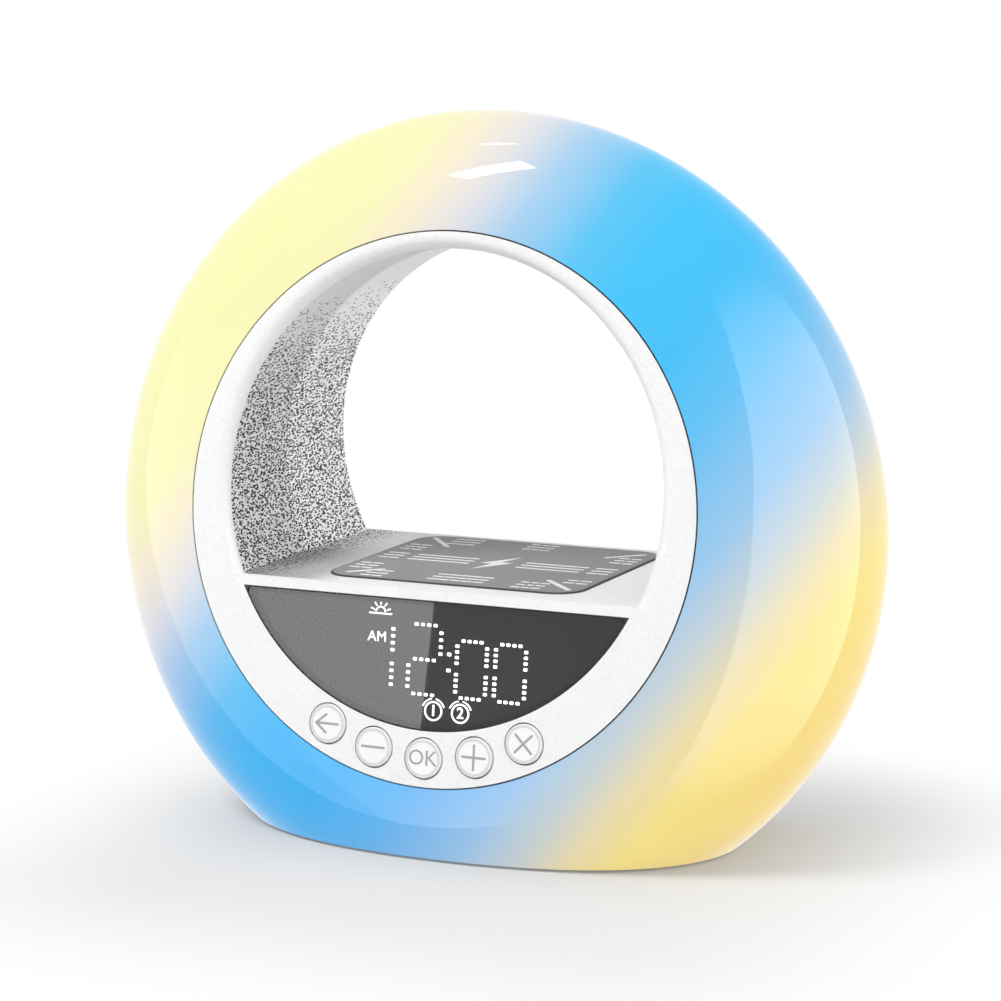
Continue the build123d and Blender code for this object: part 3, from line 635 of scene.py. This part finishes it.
def join(target, part, place=Matrix()):
    # moves a part to its place and adds it to the target
    bmesh.ops.transform(part, matrix=place, verts=part.verts)
    holder = bpy.data.meshes.new("holder")
    part.to_mesh(holder)
    part.free()
    target.from_mesh(holder)
    bpy.data.meshes.remove(holder)


def finishPiece(name, mesh, body, finish, sharp=35.0):
    bmesh.ops.remove_doubles(mesh, verts=mesh.verts, dist=weldGap)
    bmesh.ops.recalc_face_normals(mesh, faces=mesh.faces)
    data = bpy.data.meshes.new(name)
    mesh.to_mesh(data)
    mesh.free()
    data.materials.append(finishes[finish])
    data.shade_smooth()
    data.set_sharp_from_angle(angle=radians(sharp))
    piece = bpy.data.objects.new(name, data)
    scene.collection.objects.link(piece)
    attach(piece, body)
    return piece


def stroke(start, end, width, thick, roundness=0.48):
    # a flat bar between two points, with round ends; roundness is a share of the width
    start, end = Vector(start), Vector(end)
    run = end - start
    bar = bmesh.new()
    bmesh.ops.create_cube(bar, size=1.0)
    bmesh.ops.scale(bar, vec=(run.length + width, width, thick), verts=bar.verts)
    corners = [edge for edge in bar.edges if abs(edge.verts[0].co.z - edge.verts[1].co.z) > thick / 2]
    bmesh.ops.bevel(
        bar,
        geom=corners,
        offset=width * roundness,
        segments=4,
        profile=0.5,
        affect="EDGES",
        material=-1,
    )
    middle = (start + end) / 2
    turn = atan2(run.y, run.x)
    place = Matrix.Translation((middle.x, middle.y, thick / 2)) @ Matrix.Rotation(turn, 4, "Z")
    bmesh.ops.transform(bar, matrix=place, verts=bar.verts)
    return bar


def plate(corners, thick):
    # a flat shape with the given outline
    flat = bmesh.new()
    face = flat.faces.new([flat.verts.new((*corner, 0.0)) for corner in corners])
    raised = bmesh.ops.extrude_face_region(flat, geom=[face])["geom"]
    upper = [part for part in raised if isinstance(part, bmesh.types.BMVert)]
    bmesh.ops.translate(flat, vec=(0, 0, thick), verts=upper)
    return flat


def band(radius, width, thick, steps=72, angle=2 * pi, start=0.0):
    # a flat ring, or a stretch of one
    ring = bmesh.new()
    bmesh.ops.create_grid(ring, x_segments=1, y_segments=1, size=0.5)
    bmesh.ops.delete(ring, geom=ring.faces, context="FACES_ONLY")
    section = Matrix.Translation((radius, 0, thick / 2)) @ Matrix.Rotation(pi / 2, 4, "X")
    bmesh.ops.transform(ring, matrix=section @ Matrix.Diagonal((width, thick, 1, 1)), verts=ring.verts)
    whole = angle >= 2 * pi
    bmesh.ops.spin(
        ring,
        geom=ring.verts[:] + ring.edges[:],
        cent=(0, 0, 0),
        axis=(0, 0, 1),
        angle=angle,
        steps=steps,
        use_merge=whole,
    )
    if not whole:
        ends = [edge for edge in ring.edges if edge.is_boundary]
        bmesh.ops.holes_fill(ring, edges=ends, sides=4)
    bmesh.ops.rotate(ring, cent=(0, 0, 0), matrix=Matrix.Rotation(start, 3, "Z"), verts=ring.verts)
    return ring


def lettering(words, size, thick, weight=0.0):
    # upright words, centred on the origin and turned into a mesh
    curve = bpy.data.curves.new("words", "FONT")
    curve.body = words
    curve.size = size
    curve.extrude = thick / 2
    curve.offset = weight
    curve.align_x = "CENTER"
    curve.align_y = "CENTER"
    curve.resolution_u = 3
    holder = bpy.data.objects.new("words", curve)
    scene.collection.objects.link(holder)
    bpy.context.view_layer.update()
    data = bpy.data.meshes.new_from_object(holder.evaluated_get(bpy.context.evaluated_depsgraph_get()))
    letters = bmesh.new()
    letters.from_mesh(data)
    bpy.data.objects.remove(holder)
    bpy.data.curves.remove(curve)
    bpy.data.meshes.remove(data)
    bmesh.ops.translate(letters, vec=(0, 0, thick / 2), verts=letters.verts)
    return letters


clockFace = {
    "digits": "1200",
    "across": (-16.4 * mm, -2.0 * mm, 12.0 * mm, 23.4 * mm),  # middle of each digit
    "hour": (9.4 * mm, 18.8 * mm, -40.4 * mm),  # width, height, middle
    "minute": (8.8 * mm, 15.3 * mm, -42.1 * mm),
    "dotsPerBar": 4,
    "dot": 1.12 * mm,
    "dotWidth": 0.78,  # shares of the dot
    "dotStretch": 0.24,
    "dotRoundness": 0.3,
    "dotThick": 0.12 * mm,
    "depth": -1.78 * mm,  # just behind the lens
    "colon": (5.3 * mm, -38.4 * mm, -42.7 * mm),  # across, upper and lower dot
    "colonDot": 1.1,
    "halfDay": "AM",
    "halfDayPlace": (-16.5 * mm, -35.4 * mm),
    "halfDaySize": 4.0 * mm,
}
alarmMark = {
    "numbers": ((1.4 * mm, "1"), (9.4 * mm, "2")),
    "height": -54.0 * mm,
    "radius": 2.45 * mm,
    "line": 0.5 * mm,
    "bellRadius": 3.35 * mm,
    "bellLine": 0.42 * mm,
    "bellAngle": radians(60),
    "bellStarts": (radians(20), radians(100)),
    "numberSize": 4.2 * mm,
    "numberWeight": 0.09 * mm,
}
sunMark = {
    "place": (-15.8 * mm, -28.6 * mm),
    "radius": 1.4 * mm,
    "line": 0.42 * mm,
    "horizon": 3.3 * mm,  # half its length
    "horizonDrop": 0.4 * mm,
    "rays": 5,
    "raySpan": (2.1 * mm, 3.0 * mm),
    "rayLine": 0.36 * mm,
}
bars = {
    "top": ((-1, 1), (1, 1)),
    "middle": ((-1, 0), (1, 0)),
    "bottom": ((-1, -1), (1, -1)),
    "upperLeft": ((-1, 0), (-1, 1)),
    "upperRight": ((1, 0), (1, 1)),
    "lowerLeft": ((-1, -1), (-1, 0)),
    "lowerRight": ((1, -1), (1, 0)),
}
litBars = {
    "0": ("top", "bottom", "upperLeft", "upperRight", "lowerLeft", "lowerRight"),
    "1": ("upperRight", "lowerRight"),
    "2": ("top", "upperRight", "middle", "lowerLeft", "bottom"),
}


def dotAt(mesh, across, up, size):
    half = size * clockFace["dotStretch"] / 2
    width = size * clockFace["dotWidth"]
    dot = stroke((-half, 0), (half, 0), width, clockFace["dotThick"], clockFace["dotRoundness"])
    join(mesh, dot, facePlace(across, up, clockFace["depth"]))


def clockDigits():
    lit = bmesh.new()
    resting = bmesh.new()
    sizes = (clockFace["hour"],) * 2 + (clockFace["minute"],) * 2
    count = clockFace["dotsPerBar"]
    for digit, middle, (width, height, level) in zip(clockFace["digits"], clockFace["across"], sizes):
        for name, (start, end) in bars.items():
            target = lit if name in litBars[digit] else resting
            for step in range(1, count + 1):
                share = step / (count + 1)
                across = middle + width / 2 * (start[0] + (end[0] - start[0]) * share)
                up = level + height / 2 * (start[1] + (end[1] - start[1]) * share)
                dotAt(target, across, up, clockFace["dot"])
    across, upper, lower = clockFace["colon"]
    for up in (upper, lower):
        dotAt(lit, across, up, clockFace["dot"] * clockFace["colonDot"])
    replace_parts(finishPiece("clock_digits", lit, "case", "lit"), "display_pixels")
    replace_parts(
        finishPiece("resting_segments", resting, "case", "unlit"),
        "display_pixels",
    )


def alarmMarks(marks, depth, thick):
    # a number in a ring, with a bell on each side
    for across, number in alarmMark["numbers"]:
        place = facePlace(across, alarmMark["height"], depth)
        join(marks, band(alarmMark["radius"], alarmMark["line"], thick), place)
        for start in alarmMark["bellStarts"]:
            bell = band(
                alarmMark["bellRadius"],
                alarmMark["bellLine"],
                thick,
                steps=12,
                angle=alarmMark["bellAngle"],
                start=start,
            )
            join(marks, bell, place)
        join(marks, lettering(number, alarmMark["numberSize"], thick, alarmMark["numberWeight"]), place)


def risingSun(marks, depth, thick):
    # half a ring on the horizon, with rays round it
    place = facePlace(*sunMark["place"], depth)
    join(marks, band(sunMark["radius"], sunMark["line"], thick, steps=24, angle=pi), place)
    half, level = sunMark["horizon"], -sunMark["horizonDrop"]
    join(marks, stroke((-half, level), (half, level), sunMark["line"], thick), place)
    for ray in range(sunMark["rays"]):
        turn = pi * (ray + 0.5) / sunMark["rays"]
        near, far = (Vector((cos(turn), sin(turn))) * reach for reach in sunMark["raySpan"])
        join(marks, stroke(near, far, sunMark["rayLine"], thick), place)


def clockMarks():
    marks = bmesh.new()
    depth = clockFace["depth"]
    thick = clockFace["dotThick"]
    alarmMarks(marks, depth, thick)
    halfDay = lettering(clockFace["halfDay"], clockFace["halfDaySize"], thick)
    join(marks, halfDay, facePlace(*clockFace["halfDayPlace"], depth))
    risingSun(marks, depth, thick)
    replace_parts(finishPiece("clock_marks", marks, "case", "litSoft"), "display_pixels")


clockDigits()
clockMarks()
print("display lit")

buttonPrint = {
    "circle": 66.8 * mm,  # from the bezel's centre
    "pitch": radians(13.0),
    "proud": 0.5 * mm,
    "thick": 0.05 * mm,
    "layer": 0.1,  # each stroke of a sign is this much thicker, so that two never share a surface
    "line": 0.65 * mm,
    "reach": 3.3 * mm,  # half the width of a sign
    "lettering": 5.9 * mm,
    # painted shade: a pale grey ring on each button's face stands for the shade on its rounded edge
    "edgeShadeRadius": 4.75 * mm,
    "edgeShadeLine": 0.8 * mm,
}
icons = {
    "back": (((-1, 0), (1, 0)), ((-1, 0), (-0.1, 0.75)), ((-1, 0), (-0.1, -0.75))),
    "minus": (((-1, 0), (1, 0)),),
    "ok": (),
    "plus": (((-1, 0), (1, 0)), ((0, -1), (0, 1))),
    "close": (((-0.72, -0.72), (0.72, 0.72)), ((-0.72, 0.72), (0.72, -0.72))),
}


def printButton(name, lines, angle):
    across = buttonPrint["circle"] * sin(angle)
    up = -buttonPrint["circle"] * cos(angle)
    place = facePlace(across, up, buttonPrint["proud"])
    thick = buttonPrint["thick"]
    drawing = bmesh.new()
    for index, (start, end) in enumerate(lines):
        start, end = (Vector(point) * buttonPrint["reach"] for point in (start, end))
        raised = thick * (1 + index * buttonPrint["layer"])
        join(drawing, stroke(start, end, buttonPrint["line"], raised), place)
    if name == "ok":
        join(drawing, lettering("OK", buttonPrint["lettering"], thick), place)
    finishPiece("icon_" + name, drawing, "button_" + name, "printGrey")
    # painted shade: a pale grey ring round the sign, for the shade on the button's rounded edge
    ring = bmesh.new()
    join(ring, band(buttonPrint["edgeShadeRadius"], buttonPrint["edgeShadeLine"], thick), place)
    finishPiece("edgeShade_" + name, ring, "button_" + name, "buttonEdgeShade")


middleButton = (len(icons) - 1) / 2
for step, (name, lines) in enumerate(icons.items()):
    printButton(name, lines, (step - middleButton) * buttonPrint["pitch"])
print("buttons printed")

padPrint = {
    "middle": (0.0, 2.0 * mm),
    "height": 74.4 * mm,
    "thick": 0.04 * mm,
    "cornerThick": 0.052 * mm,  # these cross the dashes, so they stand a little higher
    "cornerLine": 1.6 * mm,
    "dashLine": 1.3 * mm,
    # the drawing, in millimetres
    "bolt": ((3.2, 10.5), (-4.4, -1.4), (-0.8, -1.4), (-3.2, -10.5), (4.4, 1.4), (0.8, 1.4)),
    # centre, width and number of rows of each group of dashes
    "groups": (
        ((-16.5, 0.0), 19.0, 3),
        ((17.0, 0.0), 19.0, 3),
        ((0.5, -24.5), 17.0, 3),
        ((1.5, 27.0), 8.0, 3),
        ((-32.0, 0.0), 6.5, 3),
        ((32.0, 0.0), 6.5, 3),
        ((-22.0, 26.5), 9.0, 3),
        ((-32.0, 14.0), 7.5, 3),
        ((32.0, 17.0), 7.5, 3),
        ((-32.0, -17.0), 7.5, 3),
        ((-24.0, -26.5), 7.0, 3),
        ((22.0, -26.0), 8.0, 3),
        ((32.0, -17.0), 7.5, 2),
    ),
    "rowPitch": 3.6,
    "dash": 2.1,
    "dashGap": 1.0,
    "corners": (
        ((-33, 29), (-24, 18)),
        ((33, 28), (25, 20)),
        ((-32, -28), (-25, -21)),
        ((34, -28), (24, -18)),
    ),
}


def padMarks():
    marks = bmesh.new()
    thick = padPrint["thick"]
    place = Matrix.Translation((*padPrint["middle"], padPrint["height"]))
    join(marks, plate([Vector(corner) * mm for corner in padPrint["bolt"]], thick), place)
    for start, end in padPrint["corners"]:
        start, end = Vector(start) * mm, Vector(end) * mm
        join(marks, stroke(start, end, padPrint["cornerLine"], padPrint["cornerThick"]), place)
    for (across, along), width, rows in padPrint["groups"]:
        count = round(width / (padPrint["dash"] + padPrint["dashGap"]))
        for row in range(rows):
            level = along + (row - (rows - 1) / 2) * padPrint["rowPitch"]
            for index in range(count):
                middle = across + (index - (count - 1) / 2) * width / count
                start = Vector((middle - padPrint["dash"] / 2, level)) * mm
                end = Vector((middle + padPrint["dash"] / 2, level)) * mm
                join(marks, stroke(start, end, padPrint["dashLine"], thick), place)
    finishPiece("pad_marks", marks, "case", "printWhite")


padMarks()
print("pad marked")

studio = {
    "floorReach": 9.0,
    "floorTones": ("#E6E6E6", "#E0E0E0"),
    "floorPatches": 3.0,  # per metre
    "floorShare": 0.2,
    "shadowShare": 0.85,  # how much of the floor's own shading shows beside the clock
    "shadeMiddle": (9.0 * mm, -25.0 * mm),  # of the shaded patch under the clock
    "shadeHalf": (56.0 * mm, 60.0 * mm),  # full shading out to here
    "shadeFade": 100.0 * mm,  # and plain white this much further out
    "ambient": 0.40,
    "lampAim": 0.10,  # the height that every lamp faces
    # upright cards that only gloss sees: turn from straight in front to the clock's right, how far
    # away, outline (side, height), level at the foot, in the middle and at the top, the heights where
    # it changes, then the level of a brighter stretch, where that begins, and where it dims to white
    "softboxes": {
        "leftBox": {
            "turn": -57.0,
            "away": 1.2,
            "outline": (
                (-0.70, 0.11),
                (0.33, -0.64),
                (1.30, -1.00),
                (1.30, -0.20),
                (0.757, -0.10),
                (0.757, 0.36),
                (1.46, 0.37),
                (1.40, 1.9),
                (-0.70, 1.9),
            ),
            "levels": (2.6, 2.6, 1.1),
            "steps": (-0.2, 0.0, 0.15, 0.55),
            "bright": (3.8, 0.46, 0.56, 0.78, 1.25),
        },
        "rightBox": {
            "turn": 73.0,
            "away": 1.1,
            "outline": (
                (-1.12, -2.4),
                (1.14, -2.4),
                (1.14, 1.0),
                (0.82, 1.7),
                (-0.96, 1.7),
                (-0.98, 1.0),
                (-1.15, 0.3),
            ),
            "levels": (1.0, 4.6, 1.05),
            "steps": (-2.0, -0.6, 0.8, 1.65),
            "bright": (4.6, 2.0, 2.1, 2.2, 2.3),
        },
    },
    # turn, rise, roll, how far away, width, height, level; glints show in gloss only
    "glints": {
        "longGlint": (-34.5, 56.0, -14.0, 1.3, 0.09, 0.37, 24.0),
        "shortGlint": (-64.0, 70.0, 0.0, 1.3, 0.035, 0.16, 10.0),
    },
    # the same; these light the clock and don't show in gloss
    "lamps": {
        "key": (-38.0, 50.0, 0.0, 1.3, 0.45, 0.45, 17.0),
        "rightFill": (68.0, 12.0, 0.0, 1.0, 1.0, 1.0, 1.3),
        "backFill": (125.0, 20.0, 0.0, 1.2, 1.0, 1.0, 1.4),
    },
}


def floorFinish():
    # near the clock the floor shows its shading; further out the camera sees plain white
    finish = Finish("paleFloor", Roughness=0.9, Specular_IOR_Level=0.1)
    place = finish.objectPlace()
    patches = finish.noise(place, studio["floorPatches"]) * studio["floorShare"]
    finish.set("Base Color", finish.blend(patches, *(colour(tone) for tone in studio["floorTones"])))
    across, along, height = finish.split(place)
    middle = studio["shadeMiddle"]
    fromBox = beyondBox(across - middle[0], along - middle[1], *studio["shadeHalf"])
    clear = finish.ease(fromBox, 0.0, studio["shadeFade"])
    share = 1.0 - (1.0 - clear) * studio["shadowShare"]
    seen = finish.seenBy("Is Camera Ray", "Is Transmission Ray")
    values = {
        "Fac": share * seen,
        "Shader": Signal(finish.tree, finish.shader.outputs["BSDF"]),
        "Shader_001": finish.add("ShaderNodeEmission"),
    }
    mixed = finish.add("ShaderNodeMixShader", values=values)
    finish.plug(finish.tree.nodes["Material Output"], "Surface", mixed)
    return finish.material


def sheet(name, corners, material):
    # one flat face of the studio
    mesh = bmesh.new()
    mesh.faces.new([mesh.verts.new(corner) for corner in corners])
    data = bpy.data.meshes.new(name)
    mesh.to_mesh(data)
    mesh.free()
    data.materials.append(material)
    holder = bpy.data.objects.new(name, data)
    scene.collection.objects.link(holder)
    return holder


def studioFloor():
    reach = studio["floorReach"]
    corners = ((-reach, -reach, 0.0), (reach, -reach, 0.0), (reach, reach, 0.0), (-reach, reach, 0.0))
    floor = sheet("floor", corners, floorFinish())
    floor.visible_glossy = False  # gloss shows the white world and the softboxes instead
    # the shell's coloured light stays off the floor
    unlit = bpy.data.collections.new("unlitByShell")
    unlit.objects.link(floor)
    nodes["diffuser"].light_linking.receiver_collection = unlit
    unlit.collection_objects[0].light_linking.link_state = "EXCLUDE"


def softbox(name, turn, away, outline, levels, steps, bright):
    turn = radians(turn)
    toward = Vector((sin(turn), -cos(turn), 0.0))
    side = Vector((cos(turn), sin(turn), 0.0))
    level, begin, whole, fade, plain = bright
    wanted = (*levels, level, 1.0)
    brightest = max(*levels, level)
    black = (0.0, 0.0, 0.0, 1.0)
    finish = Finish(name, Base_Color=black, Roughness=1.0, Emission_Strength=brightest)
    foot, middle, top, stretch, white = ((tone / brightest,) * 3 + (1.0,) for tone in wanted)
    across, along, height = finish.split(finish.objectPlace())
    onSide = across * cos(turn) + along * sin(turn)
    shade = finish.blend(finish.ease(height, steps[0], steps[1]), foot, middle)
    shade = finish.blend(finish.ease(onSide, begin, whole), shade, stretch)
    shade = finish.blend(finish.ease(height, steps[2], steps[3]), shade, top)
    finish.set("Emission Color", finish.blend(finish.ease(onSide, fade, plain), shade, white))
    corners = [toward * away + side * sideways + Vector((0, 0, up)) for sideways, up in outline]
    box = sheet(name, corners, finish.material)
    box.visible_camera = False
    box.visible_diffuse = False


def studioWorld(ambient):
    # plain white to the camera and in gloss, and weaker as a light
    world = bpy.data.worlds.new("studio")
    scene.world = world
    sky = NodeWork(world)
    seen = sky.seenBy("Is Camera Ray", "Is Glossy Ray", "Is Transmission Ray")
    background = sky.tree.nodes["Background"]
    sky.plug(background, "Color", (1.0, 1.0, 1.0, 1.0))
    sky.plug(background, "Strength", seen * (1.0 - ambient) + ambient)


def lamp(name, turn, rise, roll, away, width, height, level):
    light = bpy.data.lights.new(name, "AREA")
    light.shape = "RECTANGLE"
    light.size = width
    light.size_y = height
    light.energy = level * pi * width * height
    turn, rise = radians(turn), radians(rise)
    toward = Vector((sin(turn) * cos(rise), -cos(turn) * cos(rise), sin(rise)))
    holder = bpy.data.objects.new(name, light)
    holder.location = toward * away + Vector((0, 0, studio["lampAim"]))
    holder.rotation_mode = "QUATERNION"
    holder.rotation_quaternion = toward.to_track_quat("Z", "Y") @ Quaternion((0, 0, 1), radians(roll))
    holder.visible_camera = False
    scene.collection.objects.link(holder)
    return holder


studioFloor()
studioWorld(studio["ambient"])
for name, form in studio["softboxes"].items():
    softbox(name, **form)
for name, form in studio["glints"].items():
    lamp(name, *form).visible_diffuse = False
for name, form in studio["lamps"].items():
    lamp(name, *form).visible_glossy = False
print("studio lit")

viewPoint = {
    "place": (371.5 * mm, -800.4 * mm, 238.5 * mm),
    "turn": radians(24.77),
    "dip": radians(9.40),
    "roll": radians(-0.19),
    "lens": 115.73,
    "sensor": 36.0,
}
lens = bpy.data.cameras.new("camera")
lens.lens = viewPoint["lens"]
lens.sensor_width = viewPoint["sensor"]
camera = bpy.data.objects.new("camera", lens)
scene.collection.objects.link(camera)
camera.matrix_world = (
    Matrix.Translation(viewPoint["place"])
    @ Matrix.Rotation(viewPoint["turn"], 4, "Z")
    @ Matrix.Rotation(pi / 2 - viewPoint["dip"], 4, "X")
    @ Matrix.Rotation(viewPoint["roll"], 4, "Z")
)
scene.camera = camera
scene.view_settings.view_transform = "Standard"
print("camera placed")
